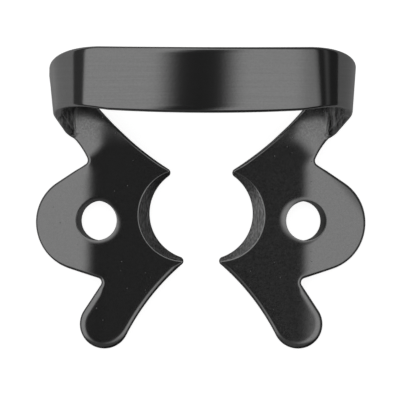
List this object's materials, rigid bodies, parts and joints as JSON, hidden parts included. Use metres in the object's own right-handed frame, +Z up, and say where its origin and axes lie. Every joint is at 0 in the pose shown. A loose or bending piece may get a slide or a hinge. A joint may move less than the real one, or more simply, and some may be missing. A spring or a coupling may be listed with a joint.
{
  "type": "rubber dam clamp",
  "caption": "Winged spring steel clamp that grips a tooth and holds a dental rubber dam, with curved jaws, side wings, front tongues, forceps holes and an arched bow.",
  "frame": {"origin": "on the surface the clamp stands on, below the middle of its bounding box", "axes": "+X from jaw to jaw, towards the right wing, +Y towards the bow, +Z up, out of the mouth side of the jaws"},
  "size_m": [0.0268, 0.0244, 0.0097],
  "materials": {
    "black_steel": "thin black coating on spring steel, glossy"
  },
  "bodies": {
    "root": {"clamp": "black_steel"}
  },
  "joints": []
}
